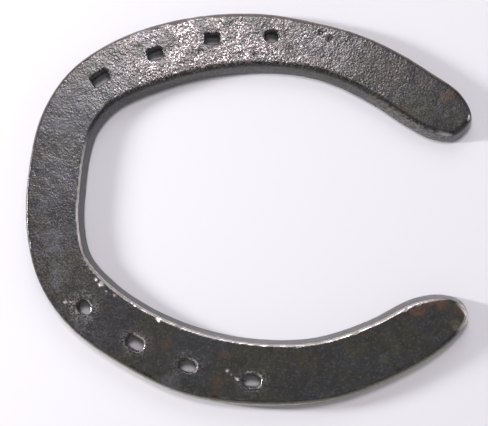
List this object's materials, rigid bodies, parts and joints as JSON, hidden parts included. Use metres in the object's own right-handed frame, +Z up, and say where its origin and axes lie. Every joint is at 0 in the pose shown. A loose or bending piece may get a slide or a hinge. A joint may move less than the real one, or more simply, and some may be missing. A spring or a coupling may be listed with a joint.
{
  "type": "horseshoe",
  "caption": "Forged steel horseshoe: a flat bar bent into an open C with worn edges, rounded heels and rows of punched nail holes in both branches.",
  "frame": {"origin": "middle of the shoe's box, on the plane that its underside rests on", "axes": "+X from the toe to the open heels, +Y to the narrower branch, +Z up through the bar"},
  "size_m": [0.1554, 0.1362, 0.008],
  "materials": {
    "forged_steel": "dark, oiled and finely pitted mill scale, bright on worn edges, with a few brown rust stains"
  },
  "bodies": {
    "root": {"shoe": "forged_steel"}
  },
  "joints": []
}
